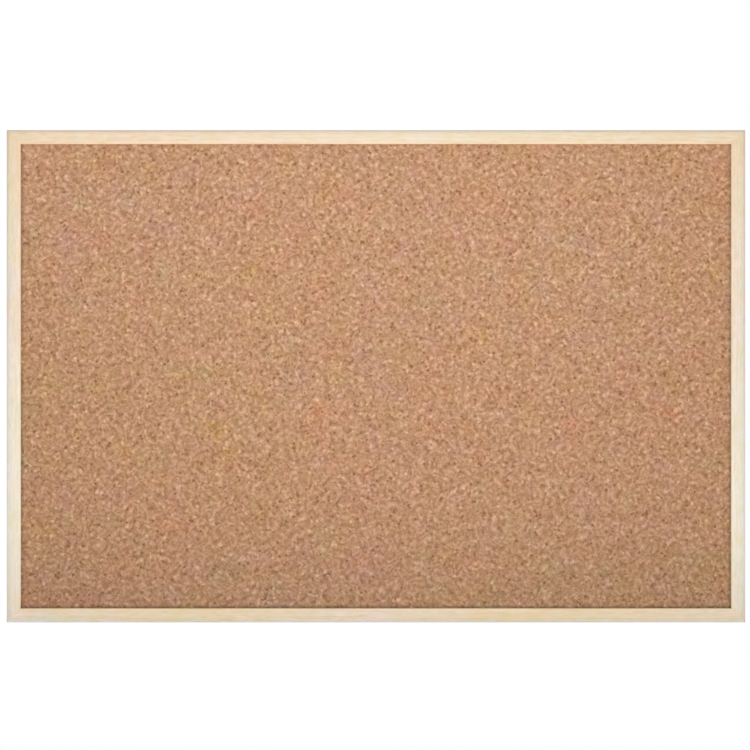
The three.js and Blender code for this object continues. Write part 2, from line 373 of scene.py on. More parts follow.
def pine_finish(rail, base, rail_length, number, way):
    """Sanded pale pine: growth rings and fibres run along the rail. The outer arris is greyed, partly as
    handling grime and partly as painted shade, and the face has a painted highlight towards its inner
    edge.

    The way is -1 where the rail's own X axis runs against the drift of its tone and painted light.
    """
    finish = Finish(f"sanded_pine_{rail}")
    place = finish.place_mm()
    own_wood = finish.vector("ADD", place, (310.0 * number, 17.0 * number, 29.0 * number))
    along, deep, inward = finish.axes(place)
    sway = finish.grain(own_wood, 0.012, 0.09)
    pith_deep, pith_inward = 34.0, 21.0 + 9.0 * number
    ring_width, ring_sway, ring_fade = 2.3, 3.4, 2.6
    from_pith = ((deep - pith_deep) ** 2 + (inward + pith_inward) ** 2) ** 0.5
    rings = (from_pith / ring_width + sway * ring_sway).fraction() ** ring_fade
    streaks = finish.grain(own_wood, 0.018, 0.9, 4.0, 0.6)
    fibres = finish.grain(own_wood, 0.11, 5.0, 3.0, 0.65)
    ducts = finish.cells(finish.scaled(own_wood, 0.09, 1.3, 1.3), 1.0).rise(0.13, 0.05)
    wisps = finish.grain(own_wood, 0.12, 0.55, 2.0, 0.6)
    patches = finish.grain(own_wood, 0.011, 0.1)
    dark = shade(base, 0.86, 1.0, 0.955, 0.86)
    pale = shade(base, 1.06, 1.0, 1.015, 1.05)
    grain = rings * 0.30 + streaks * 0.85 + fibres * 0.3 + wisps * 1.4 - 1.10
    wood = finish.blend(grain, pale, dark)
    wood = finish.blend(patches.rise(0.42, 0.68) * 0.5, wood, shade(base, 1.0, 1.02, 0.96, 0.9))
    for offset, high, low in PINE_HUES:
        share = finish.grain(finish.vector("ADD", own_wood, offset), 0.07, 0.10, 1.0)
        wood = finish.multiplied(wood, finish.blend(share, low, high))
    from_end = along * (way * MM / rail_length) + 0.5
    # Drift along the rail: partly the wood's own tone, partly painted light that lightens the wood where
    # the lamp's light falls off.
    wood = finish.multiplied(wood, finish.ramp(from_end, PINE_TONE_AND_PAINTED_LIGHT[rail]))
    # Grey on the outer arris: partly handling grime, partly painted shade of the rounded edge.
    edge_grime_and_shade = inward.rise(6.0, 0.2) * (0.6 + finish.cloud(own_wood, 14.0, 3.0) * 0.8)
    # Painted highlight: the face gets lighter and warmer towards the rail's inner edge.
    wood = finish.multiplied(wood, (1.05, 1.0, 0.965), inward.rise(6.5, 11.0))
    wood = finish.multiplied(wood, (0.90, 0.93, 0.98), edge_grime_and_shade)
    # Painted shade and light on the rounded outer edge, set for each rail.
    wood = finish.multiplied(wood, OUTER_EDGE_PAINTED_LIGHT[rail], inward.rise(2.8, 1.4))
    wood = finish.blend(ducts * 0.35, wood, shade(base, 0.62, 1.0, 0.88, 0.7))
    roughness = 0.50 + fibres * 0.10 + rings * 0.05
    return finish.surface(wood, roughness, fibres * 0.6 + rings * 0.25 - ducts * 0.6, 0.03 * MM)


def cork_finish(colours, left, right, bottom):
    """Pressed cork granules, sanded flat: toned grains with thin seams, bark specks and pale chips.

    It has painted shade along the opening's left, right and bottom edges, given in millimetres, where
    the frame's lips meet it, and painted shade that darkens it towards the bottom.
    """
    finish = Finish("bare_cork")
    place = finish.flat(finish.place_mm())
    granule_size = 3.8
    loose = finish.warped(place, 2.4, 2.4)
    granules = finish.cells(loose, granule_size, "Color")
    tone, _, gloss = finish.channels(granules)
    edge = finish.cells(loose, granule_size, feature="DISTANCE_TO_EDGE")
    seams = (edge + finish.cloud(place, 1.6, 2.0) * 0.16).rise(0.17, 0.07)
    crumbs = finish.warped(finish.vector("ADD", place, (20.0, 0.0, 80.0)), 0.9, 0.8)
    crumb_tone, _, _ = finish.channels(finish.cells(crumbs, 1.1, "Color"))
    specks = finish.cells(finish.warped(place, 0.6, 0.5), 1.7).rise(0.20, 0.08)
    bent = finish.flat(finish.warped(finish.turned(place, 0.6), 14.0, 9.0))
    own_part = finish.vector("ADD", bent, finish.scaled(granules, 0.7, 0.0, 0.7))
    swirls = finish.cloud(own_part, 3.3, 1.0, 0.45)
    lines = finish.cloud(finish.turned(bent, 0.5), 3.0, 0.0, 0.5, 0.8)
    veins = abs(lines - 0.5).rise(0.16, 0.0)
    bark = finish.cells(finish.warped(place, 1.8, 1.2), 5.0).rise(0.36, 0.06)
    bark = bark * finish.cloud(place, 7.0, 1.0).rise(0.40, 0.60)
    knots = finish.cells(finish.warped(place, 1.5, 1.4), 19.0).rise(0.075, 0.03)
    chips = finish.warped(finish.vector("ADD", place, (400.0, 70.0, 30.0)), 1.6, 1.2)
    chips = finish.cells(chips, 6.5).rise(0.30, 0.04)
    pores = finish.cloud(place, 0.32, 2.0, 0.6)
    bold = 0.65 + finish.cloud(place, 8.0, 0.0) * 1.15
    figure = (swirls - 0.5) * bold + (veins - 0.35) * 0.10 + chips * 0.38
    grit = (tone - 0.5) * 0.20 + (crumb_tone - 0.5) * 0.06 + (pores - 0.5) * 0.4
    marks = specks * 0.10 + seams * 0.15 + bark * 0.55 + knots * 0.7
    stops = [(0.0, colours.cork_dark), (0.5, colours.cork), (1.0, colours.cork_pale)]
    cork = finish.ramp(0.5 + figure + grit - marks, stops)
    for offset, high, low in CORK_HUES:
        moved = finish.vector("ADD", place, offset)
        patches = finish.cloud(moved, 30.0, 4.0, 0.7) + finish.cloud(moved, 150.0, 0.0) * 0.2
        lean = (patches - 0.6) * 9.0
        share = 0.5 + (lean + lean ** 3 * 0.3) * 0.068
        cork = finish.multiplied(cork, finish.blend(share, low, high))
    across, _, up = finish.axes(place)
    # Painted shade: the cork gets darker towards the bottom of the opening, standing in for the light
    # falling off there.
    cork = finish.multiplied(cork, (0.84, 0.84, 0.84), (up - bottom).rise(95.0, 0.0) * 0.5)
    # Painted shade along the opening's left, right and bottom edges, where the frame's lips meet the
    # cork, strongest at the bottom.
    painted_rim_shade = (
        ((across - left).rise(2.9, 0.5), 0.50), ((right - across).rise(3.1, 0.6), 0.57),
        ((up - bottom).rise(2.8, 0.8), 0.67),
    )
    for rim, strength in painted_rim_shade:
        cork = finish.multiplied(cork, (0.44, 0.57, 0.55), rim * strength)
    height = tone * 0.35 + swirls * 0.6 - seams * 0.4 - bark * 0.5 + pores * 0.2
    return finish.surface(cork, 0.88 + gloss * 0.08, height, 0.20 * MM, Specular_IOR_Level=0.25)


def hardboard_finish(base):
    """Thin hardboard, smooth side out: pressed fibres in all directions, mottled, with a dull sheen."""
    finish = Finish("pressed_hardboard")
    place = finish.place_mm()
    speckle = finish.cloud(place, 0.9, 4.0, 0.7)
    mottle = finish.cloud(place, 7.0, 3.0) * 0.7 + finish.cloud(place, 80.0, 2.0) * 0.3
    bent = finish.warped(place, 5.0, 2.0)
    pulp = speckle * 0.6 + mottle * 0.8 - 0.2
    board = finish.blend(pulp.rise(0.2, 0.8), shade(base, 0.82), shade(base, 1.34, 1.0, 1.0, 0.97))
    height = speckle * 0.4
    fibre_layers = ((0.3, 1.7), (1.3, 0.6), (2.4, 1.5), (0.9, 0.65), (1.9, 1.8))
    for number, (angle, tint) in enumerate(fibre_layers):
        lying = finish.vector("ADD", finish.turned(bent, angle), (40.0 * number, 0.0, 0.0))
        fibres = finish.cells(finish.scaled(lying, 0.34, 0.1, 2.3), 1.0).rise(0.36, 0.08)
        board = finish.blend(fibres * 0.34, board, shade(base, tint, 1.0, 0.97, 0.92))
        height = height + fibres * 0.12
    return finish.surface(board, 0.44 + mottle * 0.2 + speckle * 0.1, height, 0.05 * MM)


def softboard_finish(base):
    """Soft fibreboard: loose felted fibres with darker knots."""
    finish = Finish("felted_softboard")
    place = finish.place_mm()
    bent = finish.warped(place, 3.0, 4.0)
    felt = finish.grain(bent, 0.5, 1.5, 5.0, 0.7)
    knots = finish.cells(finish.warped(place, 1.4, 1.4), 4.2).rise(0.22, 0.06)
    board = finish.blend(felt.rise(0.3, 0.7), shade(base, 0.75), shade(base, 1.25))
    board = finish.blend(knots * 0.5, board, shade(base, 0.5))
    return finish.surface(board, 0.9 + felt * 0.08, felt - knots * 0.3, 0.25 * MM)


def zinc_finish(name, base, streak_scale):
    """Bright zinc plate: fine tumbling scratches, a faint bloom and duller patches."""
    finish = Finish(name)
    place = finish.place_mm()
    bloom = finish.cloud(place, 2.4, 4.0, 0.6)
    scratches = finish.cloud(finish.scaled(place, *streak_scale), 1.0, 3.0, 0.7)
    spangle = finish.channels(finish.cells(place, 0.55, "Color"))[0]
    metal = finish.blend(bloom.rise(0.3, 0.7), shade(base, 0.86, 1.02, 1.0, 0.96), shade(base, 1.14))
    metal = finish.blend(spangle * 0.12, metal, shade(base, 1.2, 0.98, 1.0, 1.04))
    roughness = 0.24 + bloom * 0.16 + scratches * 0.10 + spangle * 0.03
    return finish.surface(metal, roughness, scratches * 0.7 + bloom * 0.3, 0.012 * MM, Metallic=1.0)


def wire_finish(base):
    """Galvanised flat wire: drawn streaks along the wire and dull grey patches."""
    finish = Finish("galvanised_wire")
    place = finish.place_mm()
    drawn = finish.grain(place, 0.4, 6.0, 3.0, 0.6)
    dull = finish.cloud(place, 1.6, 4.0, 0.6)
    metal = finish.blend(dull.rise(0.35, 0.7), shade(base, 0.8), shade(base, 1.2))
    return finish.surface(metal, 0.34 + dull * 0.16, drawn, 0.015 * MM, Metallic=1.0)


def rubber_finish(base):
    """Matt moulded rubber: a fine pebbled skin with a little dust."""
    finish = Finish("moulded_rubber")
    place = finish.place_mm()
    pebbles = finish.cells(place, 0.28)
    haze = finish.cloud(place, 3.0, 4.0, 0.65)
    skin = finish.blend(haze.rise(0.45, 0.8) * 0.5, base, shade(base, 2.3))
    return finish.surface(skin, 0.62 + haze * 0.18, 1.0 - pebbles, 0.03 * MM)


def floor_finish(base):
    """A plain pale floor with hardly any texture."""
    finish = Finish("pale_floor")
    place = finish.place_mm()
    cast = finish.cloud(place, 600.0, 2.0)
    paint = finish.blend(cast, shade(base, 0.985), base)
    return finish.surface(paint, 0.6 + cast * 0.05, Emission_Color=base, Emission_Strength=0.28)


# Mesh building


def arc(middle, radius, start, turn, steps):
    """Points of an arc, as (first, second) pairs, from an angle on through a turn."""
    angles = [start + turn * step / steps for step in range(steps + 1)]
    return [(middle[0] + radius * math.cos(a), middle[1] + radius * math.sin(a)) for a in angles]


def as_mesh(name, form, crease=math.radians(38)):
    """Turns a bmesh into a smooth-shaded mesh with outward normals and sharp edges at its creases."""
    bmesh.ops.recalc_face_normals(form, faces=form.faces)
    for face in form.faces:
        face.smooth = True
    for edge in form.edges:
        edge.smooth = edge.is_manifold and edge.calc_face_angle(0.0) < crease
    mesh = bpy.data.meshes.new(name)
    form.to_mesh(mesh)
    form.free()
    return mesh


def loft(form, rings, closed_along=False, caps=True):
    """Joins rings of points, each a closed loop with as many points, by faces."""
    loops = [[form.verts.new(point) for point in ring] for ring in rings]
    pairs = list(zip(loops, loops[1:])) + ([(loops[-1], loops[0])] if closed_along else [])
    for first, second in pairs:
        for number, (a, d) in enumerate(zip(first, second)):
            form.faces.new((a, first[number - 1], second[number - 1], d))
    if caps and not closed_along:
        form.faces.new(loops[0])
        form.faces.new(loops[-1])
    return loops


def fan(form, point, loop):
    """Closes a loop by triangles that meet in a point."""
    tip = form.verts.new(point)
    for number, vert in enumerate(loop):
        form.faces.new((tip, loop[number - 1], vert))


def lathe(profile, steps):
    """A solid turned round the Y axis from (radius, Y) pairs that start and end on the axis."""
    form = bmesh.new()
    angles = [TURN * step / steps for step in range(steps)]
    rings = [[(r * math.cos(a), y, r * math.sin(a)) for a in angles] for r, y in profile[1:-1]]
    loops = loft(form, rings, caps=False)
    for (_, along), loop in ((profile[0], loops[0]), (profile[-1], loops[-1])):
        fan(form, (0.0, along, 0.0), loop)
    return form


def sweep(path, section, closed):
    """Runs a section of (across, out of plane) pairs along a path of (X, Z) points at y = 0."""
    form = bmesh.new()
    count = len(path)
    rings = []
    for number, (x, z) in enumerate(path):
        before = path[number - 1] if closed or number else path[0]
        after = path[(number + 1) % count] if closed or number < count - 1 else path[-1]
        way = Vector((after[0] - before[0], after[1] - before[1])).normalized()
        rings.append([(x - way.y * side, out, z + way.x * side) for side, out in section])
    loft(form, rings, closed_along=closed)
    return form


def linked(name, data):
    """A new object in the scene."""
    made = bpy.data.objects.new(name, data)
    bpy.context.scene.collection.objects.link(made)
    return made


def cut_away(mesh, cutters, name):
    """Cuts closed meshes out of a mesh, and returns what is left."""
    body = linked(name, mesh)
    tools = []
    for number, cutter in enumerate(cutters):
        tool = linked(f"{name}_cutter_{number}", cutter)
        cut = body.modifiers.new("cut", "BOOLEAN")
        cut.operation = "DIFFERENCE"
        cut.solver = "EXACT"
        cut.object = tool
        tools.append(tool)
    ready = bpy.context.evaluated_depsgraph_get()
    form = bmesh.new()
    form.from_mesh(body.evaluated_get(ready).to_mesh())
    for tool in tools:
        bpy.data.objects.remove(tool)
    bpy.data.objects.remove(body)
    return as_mesh(name, form)


def add_piece(name, mesh, finish, node, place=None, body=BOARD):
    """Puts a piece in place of its CAD node."""
    piece = linked(name, mesh)
    piece.data.materials.append(finish)
    piece.matrix_world = place or Matrix.Identity(4)
    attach(piece, body)
    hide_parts(node)


def bar_place(side_name):
    """Where the bar of a hanger's ring turns."""
    joint = next(j for j in frame["joints"] if j["name"] == f"{side_name}_ring_swing")
    return Vector(joint["pos_m"])


# Rails


def rail_section(sizes, depth, face):
    """A rail's section as (Y, inward) pairs, with its outer edge at 0 and the groove open inwards."""
    front, back = -depth / 2, depth / 2
    outer, inner, behind = sizes.outer_edge, sizes.inner_edge, sizes.back_edge
    groove_floor = face - sizes.groove
    points = arc((front + outer, outer), outer, 2 * RIGHT, RIGHT, 8)
    points += arc((back - behind, behind), behind, 3 * RIGHT, RIGHT, 5)
    points += arc((back - behind, face - behind), behind, 0.0, RIGHT, 5)
    points += [(back - sizes.lip, face), (back - sizes.lip, groove_floor)]
    points += [(front + sizes.lip, groove_floor), (front + sizes.lip, face)]
    points += arc((front + inner, face - inner), inner, RIGHT, RIGHT, 5)
    points += [(front, face * share) for share in (0.75, 0.5, 0.3)]
    return points


def shrunk(section, amount):
    """A section pulled in on all sides by an amount."""
    count = len(section)
    pulled = []
    for number, (y, z) in enumerate(section):
        before, after = section[number - 1], section[(number + 1) % count]
        way_in = Vector((y - before[0], z - before[1])).normalized()
        way_out = Vector((after[0] - y, after[1] - z)).normalized()
        normal = Vector((-way_in.y - way_out.y, way_in.x + way_out.x)).normalized()
        pulled.append((y + normal.x * amount, z + normal.y * amount))
    return pulled


def rail_mesh(name, sizes, rail_length, depth, face, cutters, number):
    """A mitred rail along X. Its sanded edges waver by a few hundredths of a millimetre."""
    mitre_gap, spacing, edge_reach = 0.012 * MM, 6 * MM, 0.5 * MM
    waver_most, waver_along, waver_across = 0.03 * MM, 9 * MM, 6 * MM
    rails_apart, end_fade = 70, 40
    section = rail_section(sizes, depth, face)
    eased = shrunk(section, sizes.mitre_ease)
    half = rail_length / 2 - mitre_gap
    stops = round(rail_length / spacing)
    shares = [2 * stop / stops - 1 for stop in range(stops + 1)]
    rings = [[(-(half - z), y, z) for y, z in eased]]
    for share in shares:
        ring = []
        for y, z in section:
            x = share * (half - sizes.mitre_ease - z)
            spot = (x / waver_along + rails_apart * number, y / waver_across, z / waver_across)
            waver = waver_most * (noise.noise(Vector(spot)) - 1.0) * (1 - abs(share) ** end_fade)
            on_front = y < -depth / 2 + edge_reach
            near_edge = z < edge_reach
            ring.append((x, y - waver * on_front, z - waver * near_edge))
        rings.append(ring)
    rings.append([(half - z, y, z) for y, z in eased])
    form = bmesh.new()
    loft(form, rings)
    return cut_away(as_mesh(name, form), cutters, name)


# A staple's width and leg, how deep its crown is sunk, and the radius of its bends.
STAPLE_CROWN = 5.7 * MM
STAPLE_LEG = 9 * MM
STAPLE_SINK = 0.15 * MM
STAPLE_BEND = 0.75 * MM

# How far along the mitre each staple lies from the board's corner.
STAPLE_PLACES = {"outer": 5.11 * MM, "inner": 9.97 * MM}


def staple_mesh(name, sizes, grow=0.0, above=0.0):
    """A flat wire staple, crown along X and legs towards -Y, or its pocket where a size is added."""
    wide = sizes.wire_width / 2 + grow
    thick = sizes.wire_thickness / 2 + grow
    rounding, top_share, tip_reach = 0.18 * MM, 0.3, 0.1 * MM
    corners = ((thick, wide), (-thick, wide), (-thick, -wide), (thick, -wide))
    section = []
    for number, (across, out) in enumerate(corners):
        middle = (across - math.copysign(rounding, across), out - math.copysign(rounding, out))
        section += arc(middle, rounding, number * RIGHT, RIGHT, 3)
    half = (STAPLE_CROWN - sizes.wire_thickness) / 2
    bend_x, bend_y = half - STAPLE_BEND, -sizes.wire_thickness / 2 - STAPLE_BEND
    middle_line = [(-half, -STAPLE_LEG - grow)]
    middle_line += arc((-bend_x, bend_y), STAPLE_BEND, 2 * RIGHT, -RIGHT, 6)
    middle_line += arc((bend_x, bend_y), STAPLE_BEND, RIGHT, -RIGHT, 6)
    middle_line.append((half, -STAPLE_LEG - grow))
    form = sweep(middle_line, section, closed=False)
    swap_y_z = Matrix(((1, 0, 0, 0), (0, 0, 1, 0), (0, 1, 0, 0), (0, 0, 0, 1)))
    bmesh.ops.transform(form, matrix=swap_y_z, verts=form.verts)
    for vert in form.verts:
        if vert.co.y > -sizes.wire_thickness * top_share:
            vert.co.y += above
        if vert.co.y < -STAPLE_LEG + tip_reach:
            vert.co.y += abs(abs(vert.co.x) - STAPLE_CROWN / 2 + sizes.wire_thickness)
    return as_mesh(name, form, math.radians(45))


def staple_turn(corner, inward, distance, back):
    """Where a staple lies: a distance along the mitre from the outer corner, across the mitre."""
    step = distance / math.sqrt(2)
    turn = Matrix.Rotation(inward[0] * inward[1] * math.pi / 4, 4, "Y")
    spot = Vector((corner[0] + inward[0] * step, back - STAPLE_SINK, corner[1] + inward[1] * step))
    return Matrix.Translation(spot) @ turn


def pilot_mesh(name, along, depth, face, sizes):
    """The hole for a hanger screw, bored into the back of a side rail."""
    radius, above, cone = 1.2 * MM, 1 * MM, 0.6 * MM
    floor = 1 * MM - sizes.screw_length
    form = lathe([(0.0, above), (radius, above), (radius, floor + cone), (0.0, floor)], 24)
    bmesh.ops.translate(form, verts=form.verts, vec=(along, depth / 2, face / 2))
    return as_mesh(name, form)


class CORKBOARD_OT_rails(Operator):
    """Build the four mitred pine rails with their staple pockets and screw holes"""

    bl_idname = "corkboard.rails"
    bl_label = "Pine rails"

    def execute(self, context):
        sizes, colours = context.scene.corkboard_sizes, context.scene.corkboard_colours
        low, high = TOP_RAIL_BOX
        depth, face = high.y - low.y, high.z - low.z
        width, height = CAD_BOX[1].x - CAD_BOX[0].x, CAD_BOX[1].z - CAD_BOX[0].z
        middle = height / 2
        pilot = bar_place("left").z - sizes.strap_drop - middle
        clearance, above = 0.05 * MM, 1 * MM
        rails = [
            ("bottom", width, (0, 0, 0), 0.0, 0, colours.pine_bottom),
            ("top", width, (0, 0, height), math.pi, 0, colours.pine_top),
            ("left", height, (-width / 2, 0, middle), RIGHT, -1, colours.pine_left),
            ("right", height, (width / 2, 0, middle), -RIGHT, 1, colours.pine_right),
        ]
        for number, (name, rail_length, spot, turn, side, base) in enumerate(rails):
            cutters = []
            for end in (-1, 1):
                for distance in STAPLE_PLACES.values():
                    pocket = staple_mesh(f"{name}_pocket", sizes, clearance, above)
                    corner = (end * rail_length / 2, 0.0)
                    pocket.transform(staple_turn(corner, (-end, 1), distance, depth / 2))
                    cutters.append(pocket)
            if side:
                cutters.append(pilot_mesh(f"{name}_pilot", side * pilot, depth, face, sizes))
            mesh = rail_mesh(f"{name}_pine_rail", sizes, rail_length, depth, face, cutters, number)
            way = 1 if name in ("bottom", "left") else -1
            finish = pine_finish(name, base, rail_length, number, way)
            place = Matrix.Translation(spot) @ Matrix.Rotation(turn, 4, "Y")
            add_piece(f"{name}_pine_rail", mesh, finish, f"{name}_rail", place)
        return {"FINISHED"}


# Cork and the sheets behind it


def cork_relief(sizes, low, high, columns, rows):
    """Depth of each point of the cork face behind its plane: hollows between granules, and pits."""
    rng = np.random.default_rng(seed=41)
    granule_size, pit_radii, least_share = 3.3 * MM, (1.5, 2.6), 0.4
    xs = np.linspace(low.x, high.x, columns)
    zs = np.linspace(low.z, high.z, rows)
    depth = np.zeros((rows, columns))
    for row, z in enumerate(zs):
        for column, x in enumerate(xs):
            spot = Vector((x, 0.0, z)) / granule_size
            nearest = noise.voronoi(spot, distance_metric="DISTANCE")[0]
            depth[row, column] = sizes.cork_relief * (1.0 - min(1.0, nearest[1] - nearest[0]))
    for _ in range(sizes.pit_count):
        x, z = rng.uniform(low.x, high.x), rng.uniform(low.z, high.z)
        radius = rng.uniform(*pit_radii) * MM
        deep = sizes.pit_depth * rng.uniform(least_share, 1.0)
        near_x = np.abs(xs - x) < radius
        near_z = np.abs(zs - z) < radius
        away = np.hypot(xs[near_x][None, :] - x, zs[near_z][:, None] - z) / radius
        pit = deep * np.clip(1 - away ** 2, 0, None)
        patch = np.ix_(near_z, near_x)
        depth[patch] = np.maximum(depth[patch], pit)
    return xs, zs, depth


def cork_mesh(sizes):
    """The cork sheet, with a fine grid of real hollows and pits on its face."""
    low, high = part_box("cork_sheet")
    columns = round((high.x - low.x) / sizes.cork_pitch) + 1
    rows = round((high.z - low.z) / sizes.cork_pitch) + 1
    xs, zs, depth = cork_relief(sizes, low, high, columns, rows)
    grid_x, grid_z = np.meshgrid(xs, zs)
    front = np.stack([grid_x, low.y + depth, grid_z], -1).reshape(-1, 3)
    numbers = np.arange(rows * columns).reshape(rows, columns)
    corners = (numbers[:-1, :-1], numbers[:-1, 1:], numbers[1:, 1:], numbers[1:, :-1])
    quads = np.stack(corners, -1).reshape(-1, 4)
    edge = np.concatenate([numbers[0, :-1], numbers[:-1, -1], numbers[-1, :0:-1], numbers[:0:-1, 0]])
    behind = front[edge]
    behind[:, 1] = high.y
    ring = np.arange(len(edge)) + rows * columns
    skirt = np.stack([edge, np.roll(edge, -1), np.roll(ring, -1), ring], -1)
    mesh = bpy.data.meshes.new("cork_face")
    faces = [*quads.tolist(), *skirt.tolist(), ring.tolist()]
    mesh.from_pydata(np.concatenate([front, behind]).tolist(), [], faces)
    form = bmesh.new()
    form.from_mesh(mesh)
    bpy.data.meshes.remove(mesh)
    return as_mesh("cork_face", form, math.radians(60))


class CORKBOARD_OT_cork(Operator):
    """Build the cork face that the pins go into"""

    bl_idname = "corkboard.cork"
    bl_label = "Cork face"

    def execute(self, context):
        sizes, colours = context.scene.corkboard_sizes, context.scene.corkboard_colours
        face = TOP_RAIL_BOX[1].z - TOP_RAIL_BOX[0].z
        low, high = CAD_BOX
        edges = [edge / MM for edge in (low.x + face, high.x - face, low.z + face)]
        finish = cork_finish(colours, *edges)
        add_piece("cork_face", cork_mesh(sizes), finish, "cork_sheet")
        return {"FINISHED"}


class CORKBOARD_OT_backing(Operator):
    """Give the softboard core and the hardboard backing sheet their finishes"""

    bl_idname = "corkboard.backing"
    bl_label = "Core and backing sheet"

    def execute(self, context):
        colours = context.scene.corkboard_colours
        core, backing = frame["nodes"]["softboard_core"], frame["nodes"]["backing_sheet"]
        core.material_slots[0].material = softboard_finish(colours.softboard)
        backing.material_slots[0].material = hardboard_finish(colours.hardboard)
        return {"FINISHED"}


class CORKBOARD_OT_staples(Operator):
    """Build the eight flat wire staples across the mitres"""

    bl_idname = "corkboard.staples"
    bl_label = "Corner staples"

    def execute(self, context):
        sizes, colours = context.scene.corkboard_sizes, context.scene.corkboard_colours
        finish = wire_finish(colours.wire)
        back = TOP_RAIL_BOX[1].y
        for row, edge, up in (("top", CAD_BOX[1].z, 1), ("bottom", CAD_BOX[0].z, -1)):
            for column, side in SIDES:
                corner = (CAD_BOX[side > 0].x, edge)
                for place_name, distance in STAPLE_PLACES.items():
                    spot = f"{row}_{column}_{place_name}"
                    name = f"wire_staple_{spot}"
                    place = staple_turn(corner, (-side, -up), distance, back)
                    mesh = staple_mesh(name, sizes)
                    add_piece(name, mesh, finish, f"corner_staple_{spot}", place)
        return {"FINISHED"}


# Hangers


def strap_path(sizes):
    """The middle line of the folded strip round the bar, as (Y, Z) points."""
    radius = sizes.strap_barrel - sizes.strap_sheet / 2
    end = sizes.strap_drop + sizes.strap_width / 2
    layer_gap, turn_in = 0.02 * MM, 0.7 * MM
    outer_layer = -radius + sizes.strap_sheet + layer_gap
    turn_y = outer_layer + turn_in
    turn_z = -math.sqrt((radius + turn_in) ** 2 - turn_y ** 2)
    meet = math.atan2(turn_z, turn_y)
    shares = np.linspace(0, 1, 40)
    line = [(-radius, -end + end * share) for share in shares[:-1]]
    line += arc((0.0, 0.0), radius, math.pi, meet - math.pi, 48)
    line += arc((turn_y, turn_z), turn_in, meet + math.pi, -meet, 14)[1:]
    line += [(outer_layer, turn_z + (-end - turn_z) * share) for share in shares[1:]]
    return np.array(line)


def strap_mesh(name, sizes):
    """One strip of sheet steel with round ends and punched holes, folded in two round the ring's bar."""
    line = strap_path(sizes)
    steps = np.linalg.norm(np.diff(line, axis=0), axis=1)
    runs = np.concatenate([[0.0], np.cumsum(steps)])
    whole = runs[-1]
    ways = np.gradient(line, runs, axis=0)
    ways /= np.linalg.norm(ways, axis=1)[:, None]
    half, sheet = sizes.strap_width / 2, sizes.strap_sheet
    hole, ease = 1.4 * MM, 0.14 * MM
    sides = np.linspace(half, whole - half, 120)

    def loops(inset, out):
        """The flat strip's outline and its two holes, at a height over its middle."""
        outline = arc((0.0, half), half - inset, 2 * RIGHT, 2 * RIGHT, 20)
        outline += [(half - inset, run) for run in sides[1:-1]]
        outline += arc((0.0, whole - half), half - inset, 0.0, 2 * RIGHT, 20)
        outline += [(inset - half, run) for run in sides[-2:0:-1]]
        places = (half, whole - half)
        holes = [arc((0.0, place), hole + inset, 0.0, -TURN, 28)[:-1] for place in places]
        return [[(x, run, out) for x, run in loop] for loop in (outline, *holes)]

    levels = arc((ease, ease - sheet / 2), ease, -RIGHT, -RIGHT, 3)
    levels += arc((ease, sheet / 2 - ease), ease, 2 * RIGHT, -RIGHT, 3)
    form = bmesh.new()
    ends = [[], []]
    for stack in zip(*[loops(inset, out) for inset, out in levels]):
        made = loft(form, stack, caps=False)
        for end, loop in zip(ends, (made[0], made[-1])):
            end += [form.edges.get(pair) for pair in zip(loop, loop[1:] + loop[:1])]
    for end in ends:
        bmesh.ops.triangle_fill(form, use_beauty=True, use_dissolve=False, edges=end)
    for vert in form.verts:
        x, run, out = vert.co
        y, z = (np.interp(run, runs, line[:, axis]) for axis in (0, 1))
        way_y, way_z = (np.interp(run, runs, ways[:, axis]) for axis in (0, 1))
        vert.co = (x, y - way_z * out, z + way_y * out)
    return as_mesh(name, form, math.radians(50))


def ring_mesh(name, sizes):
    """A D ring of round wire that hangs down from its bar."""
    half, bend, leg = sizes.ring_half, sizes.ring_bend, sizes.ring_leg
    half_bar = 3 * MM
    path = arc((half - bend, -bend), bend, RIGHT, -RIGHT, 10)
    path += arc((0.0, -leg), half, 0.0, -2 * RIGHT, 48)
    path += arc((bend - half, -bend), bend, 2 * RIGHT, -RIGHT, 10)
    path += [(x, 0.0) for x in np.linspace(-half_bar, half_bar, 9)]
    wire = arc((0.0, 0.0), sizes.ring_wire, 0.0, TURN, 24)[:-1]
    return as_mesh(name, sweep(path, wire, closed=True))


def cross_slot(name, long, wide, deep, top, turn):
    """One arm of a cross recess, which narrows towards its floor."""
    above = 0.5 * MM
    form = bmesh.new()
    rings = []
    for level, share in ((top + above, 1.35), (top, 1.1), (top - deep, 0.62)):
        x, z = long / 2 * share, wide / 2 * share
        rings.append([(-x, level, -z), (x, level, -z), (x, level, z), (-x, level, z)])
    loft(form, rings)
    bmesh.ops.rotate(form, verts=form.verts, matrix=Matrix.Rotation(turn, 3, "Y"))
    return as_mesh(name, form)


